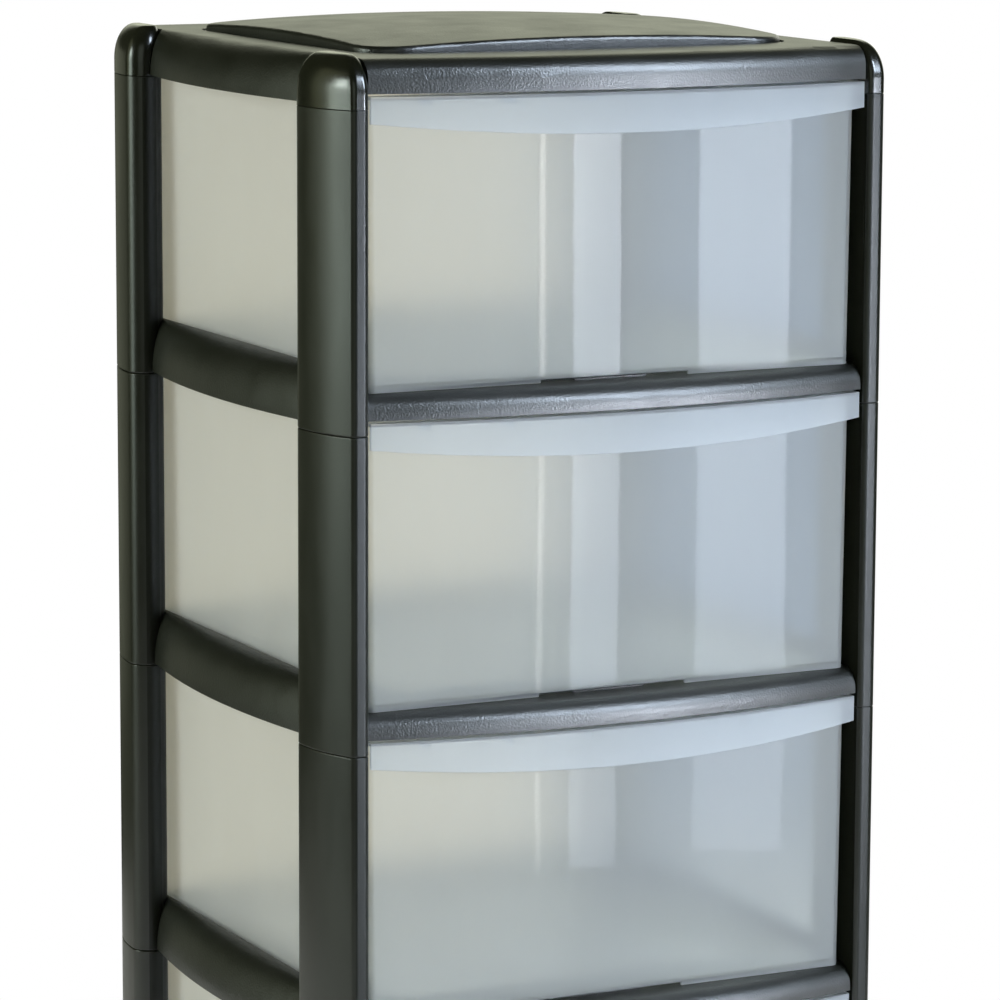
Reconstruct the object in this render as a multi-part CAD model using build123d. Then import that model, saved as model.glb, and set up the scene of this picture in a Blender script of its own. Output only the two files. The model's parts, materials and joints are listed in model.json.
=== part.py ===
from build123d import *
import math
import os

# Free-standing tower of see-through drawers: hollow corner posts in storeys, a moulded frame
# between storeys, a crowned top and feet. Millimetres, +Z up, the front faces -Y.

# Layout
drawer_count = 4
storey_height = 199.0  # seam to seam
post_spread_x = 370.0  # between the outer creases of the left and right posts
post_spread_y = 388.0  # between the end faces of the front and back posts

# Corner post: a hollow fin with a flat outer end, a bulging outer side and a round inner end
post_bulge = 13.6  # outer side, measured out from the crease
post_face = 11.0  # flat outer end, measured in from the crease
post_depth = 64.0
post_wall = 2.2
post_corner_radius = 4.5

# Plugs: they hold the frames in the posts, with a tongue through a slot in each post
plug_clearance = 0.3
plug_wall = 2.0
plug_drop = 11.0
tongue_length = 32.0
tongue_setback = 15.0  # from the post's end face

# Storey frame, heights above its seam
frame_clearance = 0.3
frame_wall = 2.5
bar_low = 9.0
deck_top = 24.4
bar_setback = 4.0  # ends of the front bar behind the posts' end faces
bar_bow = 18.0
bar_nose_radius = 12.0
back_nose_radius = 5.0
runner_width = 42.0
front_strip = 52.0
back_strip = 40.0
window_radius = 12.0
rib_height = 6.0
rib_thickness = 2.0
rib_pitch = 92.0
rail_low = 1.5
rail_high = 35.5
rail_setback = 1.0  # widest point of a rail, behind the posts' outer sides
lug_width = 50.0
lug_depth = 8.0
lug_clearance = 0.8  # under the drawer's floor
lug_gap = 4.0  # behind the drawer's front wall

# Top panel, heights above the top seam
top_rise = 30.0
top_bow = 18.5
top_nose_radius = 13.0
skirt_low = 0.5
cap_gap = 0.8
field_margin_x = 35.0  # from the posts' creases
field_margin_y = 51.0  # from the posts' end faces
field_corner_radius = 30.0
field_crown = 12.0  # middle of the field, above the rim
field_corner_rise = 2.5  # its corners, above the rim
field_edge_radius = 3.0
groove_width = 3.0
groove_depth = 1.2

# Post caps and feet
cap_height = 32.6
cap_shoulder = 9.0  # where the dome begins
cap_socket = 14.0
cap_side_round = 15.0
cap_front_round = 24.0
cap_inner_round = 3.0
cap_tip_round = 11.0
cap_corner_round = 3.0  # how far the corner radius falls off
cap_round_angle = 84.0
cap_steps = 4
foot_floor = 3.0
foot_slack = 2.0  # under the plug
foot_edge_break = 1.0

# Drawer
drawer_lift = 0.3  # running clearance over the runners
drawer_head_gap = 1.5  # rim to the bar overhead
drawer_side_gap = 3.0  # wall to the posts, at the rim
drawer_side_draft = 1.5
drawer_front_setback = 12.0  # front wall behind the posts' end faces
drawer_rear_setback = 8.0
drawer_rear_draft = 3.0
drawer_wall = 2.0
front_corner_radius = 5.0
rear_corner_radius = 32.0
skirt_depth = 2.5  # below the drawer's floor
notch_width = 104.0
notch_height = 2.2
stop_setback = 55.0  # stop rib to the rear wall
stop_rib_width = 120.0
rim_width = 1.2
rim_height = 4.0
lip_side_gap = 1.5
lip_reach = 16.0  # foremost point, in front of the posts' end faces
lip_bow = 19.0
lip_wall = 2.2
lip_end_height = 16.5
lip_mid_height = 25.5
flange_thickness = 2.0
gusset_pitch = 54.0
gusset_margin = 28.0  # from the lip's ends
gusset_height = 4.0
gusset_thickness = 1.2

half_x = post_spread_x / 2
half_y = post_spread_y / 2
inner_x = half_x - post_face  # inner sides of the posts
inner_y = half_y - post_depth  # round ends of the posts
frame_half = inner_x - frame_clearance
post_width = post_bulge + post_face
foot_height = foot_floor + foot_slack + plug_drop
top_seam = foot_height + drawer_count * storey_height
field_half_x = half_x - field_margin_x
field_half_y = half_y - field_margin_y
drawer_half_top = inner_x - drawer_side_gap
drawer_half_bottom = drawer_half_top - drawer_side_draft
drawer_front = drawer_front_setback - half_y
drawer_rear = half_y - drawer_rear_setback
lip_half = inner_x - lip_side_gap


def span_box(x0, x1, y0, y1, z0, z1):
    centre = Location(((x0 + x1) / 2, (y0 + y1) / 2, (z0 + z1) / 2))
    return centre * Box(x1 - x0, y1 - y0, z1 - z0)


def prism(face, low, high):
    return extrude(Pos(0, 0, low) * face, amount=high - low)


def both_sides(shape):
    return shape + mirror(shape, about=Plane.YZ)


def at_corner(shape, right, back):
    # From the front left corner to another one
    if right and back:
        return Rot(0, 0, 180) * shape
    if right:
        return mirror(shape, about=Plane.YZ)
    if back:
        return mirror(shape, about=Plane.XZ)
    return shape


def four_corners(shape):
    return [at_corner(shape, right, back) for right in (False, True) for back in (False, True)]


def fin(side=0.0, front=None, inner=None, tip=None, corner_radius=0.0):
    # Section of the front left post, drawn in at its outer side, outer end, inner side and inner end
    front = side if front is None else front
    inner = side if inner is None else inner
    tip = side if tip is None else tip
    shoulder = post_depth - post_width / 2
    arc_centre = (shoulder**2 - post_bulge**2) / (2 * post_bulge)
    arc_radius = arc_centre + post_bulge - side
    crease = (arc_centre - math.sqrt(arc_radius**2 - (shoulder - front) ** 2), front)
    left = side - post_bulge
    right = post_face - inner
    end_radius = (right - left) / 2
    end_y = post_depth - tip - end_radius
    with BuildSketch() as section:
        with BuildLine():
            TangentArc((left, end_y), crease, tangent=(0, -1))
            Polyline(crease, (right, front), (right, end_y))
            ThreePointArc((right, end_y), (right - end_radius, post_depth - tip), (left, end_y))
        make_face()
        if corner_radius:
            fillet(section.vertices().sort_by(Axis.Y)[:2], corner_radius)
    return Pos(-half_x, -half_y) * section.sketch


def post_section():
    return fin(corner_radius=post_corner_radius)


def tongue_slot(seam, rise):
    # Room for a frame's tongue in the inner side of a post or cap
    y0 = -half_y + tongue_setback
    return span_box(
        -inner_x - 2 * post_wall,
        -inner_x + post_wall,
        y0 - plug_clearance,
        y0 + tongue_length + plug_clearance,
        seam - 1,
        seam + rise + plug_clearance,
    )


def post(seam):
    top = seam + storey_height
    body = prism(post_section(), seam, top) - prism(fin(post_wall), seam, top)
    return body - tongue_slot(seam, deck_top)


def cap(seam):
    # Hood with a dome that leans in from the outer end and side
    rounds = []
    for step in range(cap_steps + 1):
        angle = math.radians(cap_round_angle * step / cap_steps)
        draw_in = 1 - math.cos(angle)
        climb = math.sin(angle) / math.sin(math.radians(cap_round_angle))
        height = seam + cap_shoulder + (cap_height - cap_shoulder) * climb
        depths = (cap_side_round, cap_front_round, cap_inner_round, cap_tip_round)
        insets = [draw_in * depth for depth in depths]
        corner_radius = post_corner_radius - draw_in * cap_corner_round
        rounds.append(Pos(0, 0, height) * fin(*insets, corner_radius))
    dome = loft(rounds) + prism(post_section(), seam, seam + cap_shoulder)
    hollow = prism(fin(post_wall), seam - 1, seam + cap_socket)
    return dome - hollow - tongue_slot(seam, cap_socket - plug_clearance)


def foot(seam):
    body = prism(post_section(), seam - foot_height, seam)
    body = chamfer(body.faces().sort_by(Axis.Z)[0].edges(), foot_edge_break)
    return body - prism(fin(post_wall), seam - foot_height + foot_floor, seam)


def plug(seam, rise):
    # Crossed webs that span a seam inside the posts, and the tongue that joins them to their frame
    low = seam - plug_drop
    high = seam + rise
    outer = -inner_x - post_width
    middle = -inner_x - post_width / 2
    y0 = -half_y + tongue_setback
    y1 = y0 + tongue_length
    webs = span_box(middle - plug_wall / 2, middle + plug_wall / 2, -half_y, -inner_y, low, high)
    webs += span_box(outer, -inner_x, y0, y0 + plug_wall, low, high)
    webs += span_box(outer, -inner_x, y1 - plug_wall, y1, low, high)
    gap = post_wall + plug_clearance
    body = webs & prism(fin(gap), low, high)
    body += span_box(-inner_x - gap - plug_wall, -frame_half, y0, y1, seam, high)
    return body + span_box(-frame_half - 1, -frame_half + 1, y0, y1, seam + bar_low, high)


def deck_plan(bow, inset=0.0):
    # Between the posts, with a bowed front edge
    side = frame_half - inset
    front = -half_y + bar_setback + inset
    back = half_y - bar_setback - inset
    with BuildSketch() as plan:
        with BuildLine():
            ThreePointArc((-side, front), (0, front - bow), (side, front))
            Polyline((side, front), (side, back), (-side, back), (-side, front))
        make_face()
    return plan.sketch


def nosed_block(bow, low, high, front_radius):
    # Deck with its front top edge and back top edge rounded
    block = prism(deck_plan(bow), low, high)
    edges = block.faces().sort_by(Axis.Z)[-1].edges().sort_by(Axis.Y)
    block = fillet([edges[0]], front_radius)
    edges = block.faces().sort_by(Axis.Z)[-1].edges().sort_by(Axis.Y)
    return fillet([edges[-1]], back_nose_radius)


def deck_cavity(bow, low, high, front_radius):
    # Room under a nosed deck, with its front top edge cut back to follow the nose
    block = prism(deck_plan(bow, frame_wall), low, high)
    edges = block.faces().sort_by(Axis.Z)[-1].edges().sort_by(Axis.Y)
    block = chamfer([edges[0]], front_radius - frame_wall)
    edges = block.faces().sort_by(Axis.Z)[-1].edges().sort_by(Axis.Y)
    return chamfer([edges[-1]], back_nose_radius - frame_wall)


def rail_solid(low, high, inset=0.0, thickness=0.0):
    # Left rail: quarter-ellipse section, widest at mid length, running on past the posts' ends
    overrun = inner_y + post_width
    mid_width = post_width - rail_setback
    swell = mid_width - post_width / 2
    sections = []
    for y in (-overrun, 0, overrun):
        width = mid_width - swell * (y / inner_y) ** 2
        x0 = -frame_half - thickness
        with BuildSketch(Plane.XZ.offset(-y)) as section:
            with BuildLine():
                EllipticalCenterArc((x0, low), width - 2 * thickness, high - low - inset, 90, arc_size=90)
                Polyline((x0, high - inset), (x0, low), (x0 - width + 2 * thickness, low))
            make_face()
        sections.append(section.sketch)
    return loft(sections)


def rails(low, high, clearance):
    shell = rail_solid(low, high) - rail_solid(low, high, frame_wall, frame_wall)
    reach = fin(-clearance)
    posts = prism(reach, low - 1, high + 1)
    shell -= posts + mirror(posts, about=Plane.XZ)
    return both_sides(shell.solids().sort_by(SortBy.VOLUME)[-1])


def rib_boxes(size_x, size_y, middle_y, low, high):
    # Stiffening ribs across the channels round an inner field of that size
    count_x = int(size_x / rib_pitch)
    count_y = int(size_y / rib_pitch)
    half = rib_thickness / 2
    ribs = []
    for i in range(count_x):
        x = (i - (count_x - 1) / 2) * rib_pitch
        ribs.append(span_box(x - half, x + half, -2 * half_y, 2 * half_y, low, high))
    for i in range(count_y):
        y = middle_y + (i - (count_y - 1) / 2) * rib_pitch
        ribs.append(span_box(-half_x, half_x, y - half, y + half, low, high))
    return ribs


def frame():
    # Drawn at seam height zero
    size_x = 2 * (frame_half - runner_width)
    size_y = 2 * (half_y - bar_setback) - front_strip - back_strip
    middle_y = (front_strip - back_strip) / 2
    window = Pos(0, middle_y) * RectangleRounded(size_x, size_y, window_radius)
    border = Pos(0, middle_y) * RectangleRounded(
        size_x + 2 * frame_wall, size_y + 2 * frame_wall, window_radius + frame_wall
    )
    ceiling = deck_top - frame_wall
    body = nosed_block(bar_bow, bar_low, deck_top, bar_nose_radius)
    cavity = deck_cavity(bar_bow, bar_low, ceiling, bar_nose_radius)
    cavity -= prism(border, bar_low, deck_top)
    cavity -= rib_boxes(size_x, size_y, middle_y, ceiling - rib_height, deck_top)
    body -= cavity
    body -= prism(window, bar_low - 1, deck_top + 1)
    lug_y0 = drawer_front + drawer_wall + lug_gap
    lug_top = deck_top + drawer_lift + skirt_depth - lug_clearance
    body += span_box(-lug_width / 2, lug_width / 2, lug_y0, lug_y0 + lug_depth, ceiling, lug_top)
    body += rails(rail_low, rail_high, frame_clearance)
    return body + four_corners(plug(0, deck_top))


def crowned_field(inset, wall, low):
    # Raised field of the top, cut by a large sphere
    plan = RectangleRounded(
        2 * (field_half_x - inset), 2 * (field_half_y - inset), field_corner_radius - inset
    )
    drop = field_crown - field_corner_rise
    radius = (field_half_x**2 + field_half_y**2 + drop**2) / (2 * drop)
    crest = top_rise + field_crown - wall
    return prism(plan, low, crest) & Pos(0, 0, crest - radius) * Sphere(radius)


def top_panel():
    # Drawn at seam height zero
    ceiling = top_rise - frame_wall
    body = nosed_block(top_bow, bar_low, top_rise, top_nose_radius)
    groove = RectangleRounded(
        2 * (field_half_x + groove_width), 2 * (field_half_y + groove_width), field_corner_radius + groove_width
    )
    body -= prism(groove, top_rise - groove_depth, top_rise + 1)
    field = crowned_field(0, 0, top_rise - groove_depth)
    crown_face = field.faces().sort_by(Axis.Z)[-1]
    body += fillet(crown_face.edges(), field_edge_radius)
    cavity = deck_cavity(top_bow, bar_low, ceiling, top_nose_radius)
    cavity -= rib_boxes(2 * field_half_x, 2 * field_half_y, 0, ceiling - rib_height, top_rise)
    cavity += crowned_field(field_edge_radius + frame_wall, frame_wall, bar_low)
    body -= cavity
    body += rails(skirt_low, top_rise, cap_gap)
    return body + four_corners(plug(0, cap_socket - 2 * plug_clearance))


def drawer_plan(half_width, front, rear, inset=0.0):
    front_radius = max(front_corner_radius - inset, 0.5)
    with BuildSketch() as plan:
        with BuildLine():
            x = half_width - inset
            Polyline((-x, front + inset), (x, front + inset), (x, rear - inset), (-x, rear - inset), close=True)
        make_face()
        fillet(plan.vertices().group_by(Axis.Y)[0], front_radius)
        fillet(plan.vertices().group_by(Axis.Y)[-1], rear_corner_radius - inset)
    return plan.sketch


def drawer():
    # Drawn closed, at the seam height of the frame under it
    low = deck_top + drawer_lift
    top = storey_height + bar_low - drawer_head_gap
    floor = low + skirt_depth
    foot_plan = (drawer_half_bottom, drawer_front, drawer_rear - drawer_rear_draft)
    rim_plan = (drawer_half_top, drawer_front, drawer_rear)
    body = loft([Pos(0, 0, low) * drawer_plan(*foot_plan), Pos(0, 0, top) * drawer_plan(*rim_plan)], ruled=True)
    rim = prism(drawer_plan(*rim_plan, -rim_width), top - rim_height, top)
    body += rim
    body -= loft(
        [
            Pos(0, 0, floor + drawer_wall) * drawer_plan(*foot_plan, drawer_wall),
            Pos(0, 0, top) * drawer_plan(*rim_plan, drawer_wall),
        ],
        ruled=True,
    )
    body -= prism(drawer_plan(*foot_plan, drawer_wall), low, floor)
    half_notch = notch_width / 2
    notch_back = drawer_front + 2 * drawer_wall
    body -= span_box(-half_notch, half_notch, drawer_front - 1, notch_back, low - 1, low + notch_height)
    half_rib = stop_rib_width / 2
    stop_y = drawer_rear - drawer_rear_draft - stop_setback
    body += span_box(-half_rib, half_rib, stop_y, stop_y + drawer_wall, low, floor + drawer_wall / 2)
    return body + lip(top)


def lip_plan(back_line=None):
    # Between the lip's bowed face and a line behind it, or one wall thick
    face_mid = -half_y - lip_reach
    face_end = face_mid + lip_bow
    with BuildSketch() as plan:
        with BuildLine():
            ThreePointArc((-lip_half, face_end), (0, face_mid), (lip_half, face_end))
            if back_line is None:
                shift = lip_wall
                Line((lip_half, face_end), (lip_half, face_end + shift))
                ThreePointArc(
                    (lip_half, face_end + shift), (0, face_mid + shift), (-lip_half, face_end + shift)
                )
                Line((-lip_half, face_end + shift), (-lip_half, face_end))
            else:
                Polyline(
                    (lip_half, face_end), (lip_half, back_line), (-lip_half, back_line), (-lip_half, face_end)
                )
        make_face()
    return plan.sketch


def lip(top):
    # Crescent grip under a flange, stiffened by small gussets
    face_mid = -half_y - lip_reach
    with BuildSketch(Plane.XZ.offset(-drawer_front)) as outline:
        with BuildLine():
            ThreePointArc(
                (-lip_half, top - lip_end_height), (0, top - lip_mid_height), (lip_half, top - lip_end_height)
            )
            Polyline(
                (lip_half, top - lip_end_height),
                (lip_half, top),
                (-lip_half, top),
                (-lip_half, top - lip_end_height),
            )
        make_face()
    crescent = extrude(outline.sketch, amount=drawer_front - face_mid + 1)
    crescent = crescent & prism(lip_plan(), top - lip_mid_height - 1, top)
    web = lip_plan(drawer_front + drawer_wall / 2)
    flange = prism(web, top - flange_thickness, top)
    under = prism(web, top - flange_thickness - gusset_height, top)
    gusset_count = 1 + int(2 * (lip_half - gusset_margin) / gusset_pitch)
    gussets = []
    for i in range(gusset_count):
        x = (i - (gusset_count - 1) / 2) * gusset_pitch
        half = gusset_thickness / 2
        gussets.append(under & span_box(x - half, x + half, face_mid, drawer_front + drawer_wall, 0, top))
    return crescent + flange + gussets


def seam_of(storey):
    # Lower seam of a storey, counted from the top
    return foot_height + (drawer_count - storey) * storey_height


parts = {"top_panel": Pos(0, 0, top_seam) * top_panel()}
storey_frame = frame()
storey_drawer = drawer()
for storey in range(1, drawer_count + 1):
    is_base = storey == drawer_count
    parts["base_frame" if is_base else f"frame_{storey}"] = Pos(0, 0, seam_of(storey)) * storey_frame
    parts[f"drawer_{storey}"] = Pos(0, 0, seam_of(storey)) * storey_drawer
corner_pieces = {"cap": cap(top_seam), "foot": foot(foot_height)}
for storey in range(1, drawer_count + 1):
    corner_pieces[f"post_{storey}"] = post(seam_of(storey))
for name, piece in corner_pieces.items():
    for depth, back in (("front", False), ("back", True)):
        for hand, right in (("left", False), ("right", True)):
            parts[f"{name}_{depth}_{hand}"] = at_corner(piece, right, back)

# The origin is under the middle of the whole, lips included
os.makedirs("parts", exist_ok=True)
for name, piece in parts.items():
    piece = Pos(0, lip_reach / 2, 0) * piece
    export_step(piece, f"parts/{name}.step")
    print(name, len(piece.solids()), "solid", round(piece.volume / 1000, 1), "cm3")
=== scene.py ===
import json
import math
import bmesh
import bpy
from mathutils import Matrix, Vector


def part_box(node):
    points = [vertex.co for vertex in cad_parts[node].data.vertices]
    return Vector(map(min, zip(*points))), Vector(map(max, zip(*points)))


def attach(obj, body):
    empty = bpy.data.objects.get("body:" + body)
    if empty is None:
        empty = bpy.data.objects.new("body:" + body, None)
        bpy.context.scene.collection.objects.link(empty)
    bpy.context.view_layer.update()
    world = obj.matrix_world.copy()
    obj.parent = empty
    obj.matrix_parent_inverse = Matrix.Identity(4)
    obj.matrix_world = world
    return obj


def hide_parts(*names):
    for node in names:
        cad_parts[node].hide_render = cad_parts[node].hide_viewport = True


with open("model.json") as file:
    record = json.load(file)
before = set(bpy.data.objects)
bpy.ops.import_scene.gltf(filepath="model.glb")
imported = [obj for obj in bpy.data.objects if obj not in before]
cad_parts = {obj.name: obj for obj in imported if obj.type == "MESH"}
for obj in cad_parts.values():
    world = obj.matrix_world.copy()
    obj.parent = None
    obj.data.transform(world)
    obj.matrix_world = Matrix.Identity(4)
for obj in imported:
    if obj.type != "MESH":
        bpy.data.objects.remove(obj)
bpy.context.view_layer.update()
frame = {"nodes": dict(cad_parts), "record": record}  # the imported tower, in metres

nodes = frame["nodes"]


# small helpers for meshes and shader graphs

def meshFrom(shape, name):
    mesh = bpy.data.meshes.new(name)
    shape.to_mesh(mesh)
    shape.free()
    return mesh


def addObject(name, data):
    thing = bpy.data.objects.new(name, data)
    bpy.context.scene.collection.objects.link(thing)
    return thing


def newMaterial(name):
    mat = bpy.data.materials.new(name)
    mat.use_nodes = True
    tree = mat.node_tree
    shader = tree.nodes["Principled BSDF"]
    return mat, tree, shader


def addNode(tree, kind, **values):
    node = tree.nodes.new(kind)
    for key, value in values.items():
        if hasattr(node, key):
            setattr(node, key, value)
        else:
            node.inputs[key].default_value = value
    return node


def setSockets(node, values):
    for socket, value in values.items():
        node.inputs[socket].default_value = value


def objectCoords(tree, scale=(1, 1, 1)):
    coords = addNode(tree, "ShaderNodeTexCoord")
    mapping = addNode(tree, "ShaderNodeMapping", Scale=scale)
    tree.links.new(coords.outputs["Object"], mapping.inputs["Vector"])
    return mapping.outputs["Vector"]


def noise(tree, vector, scale, detail=3.0, roughness=0.55):
    node = addNode(tree, "ShaderNodeTexNoise", Scale=scale, Detail=detail, Roughness=roughness)
    tree.links.new(vector, node.inputs["Vector"])
    return node.outputs["Fac"]


def spread(tree, value, low, high, fromLow=0.3, fromHigh=0.7):
    node = addNode(tree, "ShaderNodeMapRange")
    setSockets(node, {"From Min": fromLow, "From Max": fromHigh, "To Min": low, "To Max": high})
    tree.links.new(value, node.inputs["Value"])
    return node.outputs["Result"]


def twoTones(tree, value, dark, light):
    node = addNode(tree, "ShaderNodeMix", data_type="RGBA")
    colours = [socket for socket in node.inputs if socket.type == "RGBA"]
    colours[0].default_value = (*dark, 1)
    colours[1].default_value = (*light, 1)
    tree.links.new(value, node.inputs["Factor"])
    return [socket for socket in node.outputs if socket.type == "RGBA"][0]


def bump(tree, height, distance):
    node = addNode(tree, "ShaderNodeBump", Distance=distance, Strength=1.0)
    tree.links.new(height, node.inputs["Height"])
    return node.outputs["Normal"]


def product(tree, first, second):
    node = addNode(tree, "ShaderNodeMath", operation="MULTIPLY")
    tree.links.new(first, node.inputs[0])
    tree.links.new(second, node.inputs[1])
    return node.outputs[0]


def mixShaders(tree, amount, first, second):
    mix = addNode(tree, "ShaderNodeMixShader")
    for socket, value in zip(mix.inputs, (amount, first, second)):
        tree.links.new(value, socket)
    return mix.outputs[0]


def cloudedFinish(tree, shader, finish):
    cloud = noise(tree, objectCoords(tree, finish["cloudStretch"]), finish["cloudsPerMetre"])
    tones = twoTones(tree, spread(tree, cloud, 0, 1), finish["dark"], finish["light"])
    tree.links.new(tones, shader.inputs["Base Color"])
    tree.links.new(spread(tree, cloud, *finish["roughness"]), shader.inputs["Roughness"])


# dark satin plastic of the posts, caps and feet
postFinish = {"dark": (0.006, 0.007, 0.003), "light": (0.010, 0.011, 0.006), "roughness": (0.30, 0.38),
              "ior": 1.5, "shine": 0.9, "cloudStretch": (1, 1, 0.25), "cloudsPerMetre": 40,
              "peelsPerMetre": 900, "peelDetail": 2, "peelHeight": 0.00004}
capFinish = {**postFinish, "roughness": (0.19, 0.24), "peelHeight": 0.00002}  # the caps are glossier
innerShadeFinish = {**postFinish, "roughness": (0.50, 0.60), "shine": 0.05}  # painted shade: the posts' inner sides are made matt and nearly unreflecting, so they stay dark as if in the shade beside the drawers
endFinish = {**postFinish, "shine": 0.42}  # and their flat ends duller


def makeSatinPlastic(name, finish):
    mat, tree, shader = newMaterial(name)
    cloudedFinish(tree, shader, finish)
    peel = noise(tree, objectCoords(tree), finish["peelsPerMetre"], finish["peelDetail"])
    tree.links.new(bump(tree, peel, finish["peelHeight"]), shader.inputs["Normal"])
    setSockets(shader, {"IOR": finish["ior"], "Specular IOR Level": finish["shine"]})
    return mat


# dark plastic with a fine moulded pebble grain, for the top and the frames
grainFinish = {"dark": (0.004, 0.005, 0.002), "light": (0.007, 0.008, 0.004), "roughness": (0.36, 0.43),
               "ior": 1.65, "shine": 0.9, "cloudStretch": (1, 1, 1), "cloudsPerMetre": 30,
               "pebblesPerMetre": 800, "pebbleHeight": 0.00016}


def makeGrainedPlastic(name, finish):
    mat, tree, shader = newMaterial(name)
    cloudedFinish(tree, shader, finish)
    pebbles = addNode(tree, "ShaderNodeTexVoronoi", feature="SMOOTH_F1", Scale=finish["pebblesPerMetre"])
    tree.links.new(objectCoords(tree), pebbles.inputs["Vector"])
    grain = bump(tree, pebbles.outputs["Distance"], finish["pebbleHeight"])
    tree.links.new(grain, shader.inputs["Normal"])
    setSockets(shader, {"IOR": finish["ior"], "Specular IOR Level": finish["shine"]})
    return mat


# frosted see-through plastic of the drawers, polished on the panels and satin on the lips
frostFinish = {"dark": (0.835, 0.855, 0.845), "light": (0.865, 0.885, 0.875), "clear": 0.85,
               "roughness": (0.36, 0.42), "ior": 1.15, "coat": 0.09, "coatRoughness": 0.015,
               "cloudStretch": (1, 1, 0.3), "cloudsPerMetre": 22,
               "wavesPerMetre": 5, "waveDetail": 0, "waveHeight": 0.0002, "lampTint": (0.58, 0.59, 0.60)}
lipFinish = {**frostFinish, "dark": (0.825, 0.855, 0.875), "light": (0.855, 0.885, 0.905), "clear": 0.77,
             "roughness": (0.44, 0.50), "coat": 0.0}


def makeFrostedPlastic(name, finish):
    mat, tree, shader = newMaterial(name)
    cloudedFinish(tree, shader, finish)
    setSockets(shader, {"Transmission Weight": finish["clear"], "IOR": finish["ior"],
                        "Coat Weight": finish["coat"], "Coat Roughness": finish["coatRoughness"]})
    wave = noise(tree, objectCoords(tree), finish["wavesPerMetre"], finish["waveDetail"])
    tree.links.new(bump(tree, wave, finish["waveHeight"]), shader.inputs["Coat Normal"])  # not quite flat
    ray = addNode(tree, "ShaderNodeLightPath")
    passing = addNode(tree, "ShaderNodeBsdfTransparent")  # lamps reach inside the drawers
    passing.inputs["Color"].default_value = (*finish["lampTint"], 1)
    surface = mixShaders(tree, ray.outputs["Is Shadow Ray"], shader.outputs[0], passing.outputs[0])
    tree.links.new(surface, tree.nodes["Material Output"].inputs["Surface"])
    return mat


materialOf = {
    "post_plastic": makeSatinPlastic("postPlastic", postFinish),
    "grained_plastic": makeGrainedPlastic("grainedPlastic", grainFinish),
    "frosted_plastic": makeFrostedPlastic("frostedPlastic", frostFinish),
}
capPlastic = makeSatinPlastic("capPlastic", capFinish)
# the inner sides get a darkened copy of the post plastic, painted shade between posts and drawers
postSides = [makeSatinPlastic("innerShadePlastic", innerShadeFinish), makeSatinPlastic("endPlastic", endFinish)]
lipPlastic = makeFrostedPlastic("lipPlastic", lipFinish)
print("materials done")


# every moulded piece is dressed: edges broken as a mould leaves them, surfaces smooth
mouldPlan = {"mergeGap": 1e-6, "flatAngle": 0.2, "edgeAngle": 30, "edgeBreak": 0.00035, "edgeSegments": 2,
             "seamBreak": 0.0010, "lipReach": 0.0265, "sideFacing": 0.9}


def markLip(mould, name):
    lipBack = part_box(name)[0][1] + mouldPlan["lipReach"]  # what stands in front of the panel is lip
    for face in mould.faces:
        face.material_index = int(face.calc_center_median().y < lipBack)


def markPostSides(mould, name):
    inward = -math.copysign(1, sum(corner[0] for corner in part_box(name)))
    for face in mould.faces:
        if face.normal.x * inward > mouldPlan["sideFacing"]:
            face.material_index = 1  # the inner side, dulled for painted shade
        elif abs(face.normal.y) > mouldPlan["sideFacing"]:
            face.material_index = 2  # the flat ends


def dressNode(name, body, slot):
    mould = bmesh.new()
    mould.from_mesh(nodes[name].data)
    bmesh.ops.remove_doubles(mould, verts=mould.verts, dist=mouldPlan["mergeGap"])
    bmesh.ops.dissolve_limit(mould, angle_limit=math.radians(mouldPlan["flatAngle"]),
                             verts=mould.verts, edges=mould.edges)
    edgeAngle = math.radians(mouldPlan["edgeAngle"])
    edges = [edge for edge in mould.edges if edge.calc_face_angle(0) > edgeAngle]
    edgeBreak = mouldPlan["seamBreak" if slot == "post_plastic" else "edgeBreak"]  # the posts' seams show
    bmesh.ops.bevel(mould, geom=edges, offset=edgeBreak, offset_type="OFFSET", affect="EDGES",
                    segments=mouldPlan["edgeSegments"], profile=0.5, material=-1, clamp_overlap=True)
    finishes = [capPlastic if name.startswith("cap_") else materialOf[slot]]
    if slot == "frosted_plastic":
        markLip(mould, name)
        finishes.append(lipPlastic)
    if name.startswith("post_"):
        markPostSides(mould, name)
        finishes.extend(postSides)
    mesh = meshFrom(mould, name + "Dressed")
    mesh.shade_smooth()
    for finish in finishes:
        mesh.materials.append(finish)
    piece = addObject(name + "Dressed", mesh)
    normals = piece.modifiers.new("flatFaces", "WEIGHTED_NORMAL")
    normals.keep_sharp = True
    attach(piece, body)
    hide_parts(name)


bodyOf = {}
for body, names in frame["record"]["behaviour"]["bodies"].items():
    for name in names:
        bodyOf[name] = body
for part in frame["record"]["subparts"]:
    dressNode(part["node"], bodyOf[part["node"]], part["material_slot"])
print("pieces dressed")


# a pale round floor, plain white to the camera past the shadow
floorPlan = {"radius": 1.2, "sides": 96, "colour": (0.80, 0.80, 0.79), "roughness": 0.9,
             "shadowRadius": (0.42, 0.75)}


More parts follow.
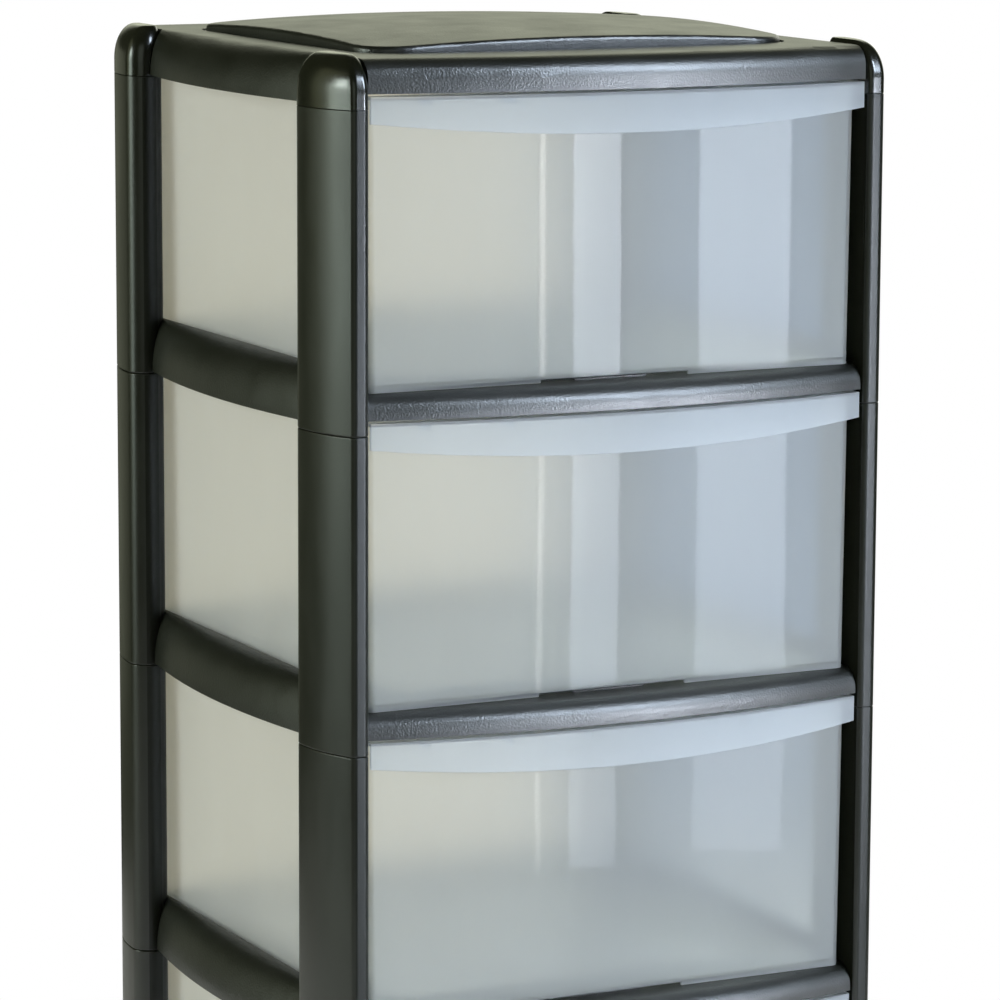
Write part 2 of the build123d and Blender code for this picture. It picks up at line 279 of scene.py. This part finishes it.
def makeFloor():
    disc = bmesh.new()
    bmesh.ops.create_circle(disc, cap_ends=True, segments=floorPlan["sides"], radius=floorPlan["radius"])
    mesh = meshFrom(disc, "floor")
    floor = addObject("floor", mesh)
    mat, tree, shader = newMaterial("floorPaint")
    setSockets(shader, {"Base Color": (*floorPlan["colour"], 1), "Roughness": floorPlan["roughness"]})
    coords = addNode(tree, "ShaderNodeTexCoord")
    reach = addNode(tree, "ShaderNodeVectorMath", operation="LENGTH")
    tree.links.new(coords.outputs["Object"], reach.inputs[0])
    outside = spread(tree, reach.outputs["Value"], 0, 1, *floorPlan["shadowRadius"])
    ray = addNode(tree, "ShaderNodeLightPath")
    amount = product(tree, outside, ray.outputs["Is Camera Ray"])
    glow = addNode(tree, "ShaderNodeEmission")
    surface = mixShaders(tree, amount, shader.outputs[0], glow.outputs[0])
    tree.links.new(surface, tree.nodes["Material Output"].inputs["Surface"])
    mesh.materials.append(mat)


# 1 for a ray that has passed the drawers, and less for each gloss it met
def straightThrough(tree, glossLimit=2):
    ray = addNode(tree, "ShaderNodeLightPath")
    plain = spread(tree, ray.outputs["Glossy Depth"], 1, 0, 0, glossLimit)
    return product(tree, ray.outputs["Is Transmission Ray"], plain)


# a card behind the tower, which shows through the drawers alone
cardPlan = {"place": 0.55, "left": -0.75, "right": 0.34, "bottom": 0.02, "top": 1.3,
            "colour": (0.80, 0.70, 0.49)}


def makeCard():
    left, right, bottom, top = [cardPlan[side] for side in ("left", "right", "bottom", "top")]
    sheet = bmesh.new()
    bmesh.ops.create_grid(sheet, x_segments=1, y_segments=1, size=0.5)  # a metre square, lying flat
    bmesh.ops.rotate(sheet, verts=sheet.verts, matrix=Matrix.Rotation(math.radians(90), 3, "X"))
    bmesh.ops.scale(sheet, verts=sheet.verts, vec=(right - left, 1, top - bottom))
    centre = ((left + right) / 2, cardPlan["place"], (bottom + top) / 2)
    bmesh.ops.translate(sheet, verts=sheet.verts, vec=centre)
    mesh = meshFrom(sheet, "card")
    card = addObject("card", mesh)
    mat, tree, shader = newMaterial("cardPaper")
    setSockets(shader, {"Base Color": (0, 0, 0, 1), "Emission Color": (*cardPlan["colour"], 1)})
    tree.links.new(straightThrough(tree), shader.inputs["Emission Strength"])
    mesh.materials.append(mat)
    card.visible_camera = False
    card.visible_diffuse = False
    card.visible_glossy = False
    card.visible_shadow = False


# a dim room with a pale warm wall behind the tower; through the drawers, a pale room with one blue corner
roomPlan = {"backWall": (0.63, 0.77, 0.10), "wallEdge": (0.82, 0.94), "wallFoot": (0.0, 0.12),
            "wallColour": (1.24, 1.29, 0.99), "dimColour": (0.022, 0.023, 0.015),
            "cornerWay": (0.58, 0.80, -0.14), "cornerEdge": (0.76, 0.92),
            "farRoom": (0.62, 0.63, 0.62), "farCorner": (0.05, 0.10, 0.22), "backdrop": (1, 1, 1)}


def facing(tree, way, middle, edge):
    dot = addNode(tree, "ShaderNodeVectorMath", operation="DOT_PRODUCT")
    dot.inputs[1].default_value = Vector(middle).normalized()
    tree.links.new(way, dot.inputs[0])
    return spread(tree, dot.outputs["Value"], 0, 1, *edge)


def makeWorld():
    world = bpy.data.worlds.new("studio")
    bpy.context.scene.world = world
    world.use_nodes = True
    tree = world.node_tree
    way = addNode(tree, "ShaderNodeTexCoord").outputs["Generated"]
    height = addNode(tree, "ShaderNodeSeparateXYZ")
    tree.links.new(way, height.inputs[0])
    wall = facing(tree, way, roomPlan["backWall"], roomPlan["wallEdge"])
    above = spread(tree, height.outputs["Z"], 0, 1, *roomPlan["wallFoot"])
    roomTones = twoTones(tree, product(tree, wall, above), roomPlan["dimColour"], roomPlan["wallColour"])
    room = tree.nodes["Background"]
    tree.links.new(roomTones, room.inputs["Color"])
    inCorner = facing(tree, way, roomPlan["cornerWay"], roomPlan["cornerEdge"])
    farTones = twoTones(tree, inCorner, roomPlan["farRoom"], roomPlan["farCorner"])
    beyond = addNode(tree, "ShaderNodeBackground")
    tree.links.new(farTones, beyond.inputs["Color"])
    backdrop = addNode(tree, "ShaderNodeBackground")
    backdrop.inputs["Color"].default_value = (*roomPlan["backdrop"], 1)
    ray = addNode(tree, "ShaderNodeLightPath")
    around = mixShaders(tree, straightThrough(tree), room.outputs[0], beyond.outputs[0])
    surface = mixShaders(tree, ray.outputs["Is Camera Ray"], around, backdrop.outputs[0])
    tree.links.new(surface, tree.nodes["World Output"].inputs["Surface"])


def aroundTower(heading, distance, height):
    turn = math.radians(heading)  # from the front, towards +X
    return (distance * math.sin(turn), -distance * math.cos(turn), height)


# lamps: glow is the brightness of the box itself, foot the share of it that a strip keeps at its foot
atMiddle = {"target": (0, 0, 0.6)}
stripPlan = {"target": (0, 0, 0.42), "height": 0.76}
lampPlan = {
    "keyStrip": {**stripPlan, "place": (0.668, -1.20, 0.42), "width": 0.0805, "glow": 50,
                 "colour": (0.76, 0.83, 0.95), "foot": 0.35},
    "thinStrip": {**stripPlan, "place": (0.5215, -1.20, 0.42), "width": 0.0414, "glow": 58,
                  "colour": (0.76, 0.83, 0.95), "foot": 0.35},
    "lineStrip": {**stripPlan, "place": (0.4675, -1.20, 0.42), "width": 0.0050, "glow": 40,
                  "colour": (1.0, 0.98, 0.94), "foot": 0.45},
    "faintStrip": {**stripPlan, "place": (0.180, -1.30, 0.42), "width": 0.14, "glow": 6,
                   "colour": (0.75, 0.86, 1.0)},
    "leftSoftbox": {"place": aroundTower(-105, 4.0, 0.75), "target": (0, 0, 0.7), "width": 1.5, "height": 1.4,
                    "glow": 3.3, "colour": (0.85, 1.0, 0.88)},
    "highLeft": {"place": aroundTower(-105, 4.0, 1.65), "target": (0, 0, 0.83), "width": 0.7, "height": 0.8,
                 "glow": 11, "colour": (0.88, 1.0, 0.92)},
    "leftWide": {"place": aroundTower(-121, 4.0, 1.5), "target": (0, 0, 0.7), "width": 1.8, "height": 2.8,
                 "glow": 0.33, "colour": (0.95, 1.0, 0.55)},
    "highStrip": {"place": (0.70, -1.25, 1.55), "target": (0, 0, 0.75), "width": 0.30, "height": 0.80,
                  "glow": 30, "colour": (0.72, 0.84, 1.0), "matte": False},
    "frontLeft": {**atMiddle, "place": aroundTower(-38, 3.5, 1.5), "width": 2.0, "height": 2.4,
                  "glow": 0.4, "colour": (0.90, 1.0, 0.88), "matte": False},
    "frontFill": {**atMiddle, "place": aroundTower(20, 3.2, 1.4), "width": 3.0, "height": 2.4,
                  "glow": 1.4, "colour": (0.62, 0.80, 1.0), "mirrored": False},
    "sideFill": {**atMiddle, "place": aroundTower(-95, 3.5, 1.2), "width": 2.4, "height": 2.4,
                 "glow": 4.4, "colour": (1.0, 0.99, 0.98), "mirrored": False},
    "topSoftbox": {**atMiddle, "place": (0.2, 0.3, 3.0), "width": 2.4, "height": 2.4,
                   "glow": 2.0, "colour": (1.0, 0.98, 0.94), "mirrored": False},
    "backSoftbox": {**atMiddle, "place": aroundTower(-172, 4.0, 0.3), "width": 2.2, "height": 1.4,
                    "glow": 0.25, "colour": (0.95, 1.0, 0.75)},
    "rightSoftbox": {**atMiddle, "place": aroundTower(128, 4.0, 1.2), "width": 2.0, "height": 2.4,
                     "glow": 0.9, "colour": (1.0, 1.0, 0.97)},
}


def addSoftbox(name, place, target, width, height, glow, colour,
               mirrored=True, matte=True, foot=1.0, footReach=0.75):
    lamp = bpy.data.lights.new(name, "AREA")
    lamp.shape = "RECTANGLE"
    lamp.size = width
    lamp.size_y = height
    lamp.energy = glow * math.pi * width * height
    lamp.color = colour
    if foot < 1:
        lamp.use_nodes = True
        tree = lamp.node_tree
        spot = addNode(tree, "ShaderNodeNewGeometry")
        across = addNode(tree, "ShaderNodeSeparateXYZ")
        tree.links.new(spot.outputs["Parametric"], across.inputs[0])
        fade = spread(tree, across.outputs["Y"], foot, 1, 0, footReach)
        tree.links.new(fade, tree.nodes["Emission"].inputs["Strength"])
    box = addObject(name, lamp)
    box.location = place
    box.rotation_euler = (Vector(target) - Vector(place)).to_track_quat("-Z", "Y").to_euler()
    box.visible_camera = False
    box.visible_glossy = mirrored
    box.visible_diffuse = matte
    box.visible_transmission = False


makeFloor()
makeCard()
makeWorld()
for name, plan in lampPlan.items():
    addSoftbox(name, **plan)
print("floor, room and lamps done")


# camera, as the picture was taken
cameraPlan = {"place": (-1.33115, -2.70488, 1.02715), "heading": 26.304, "dip": 9.2748, "roll": 0.2497,
              "lens": 165.708, "sensor": 36.0, "farthest": 50}


def makeCamera():
    data = bpy.data.cameras.new("camera")
    data.lens = cameraPlan["lens"]
    data.sensor_width = cameraPlan["sensor"]
    data.clip_end = cameraPlan["farthest"]
    camera = addObject("camera", data)
    turn = Matrix.Rotation(-math.radians(cameraPlan["heading"]), 4, "Z")
    tilt = Matrix.Rotation(math.radians(90 - cameraPlan["dip"]), 4, "X")
    roll = Matrix.Rotation(math.radians(cameraPlan["roll"]), 4, "Z")
    camera.matrix_world = Matrix.Translation(cameraPlan["place"]) @ turn @ tilt @ roll
    bpy.context.scene.camera = camera


makeCamera()
bpy.context.scene.view_settings.view_transform = "Standard"
print("camera done")
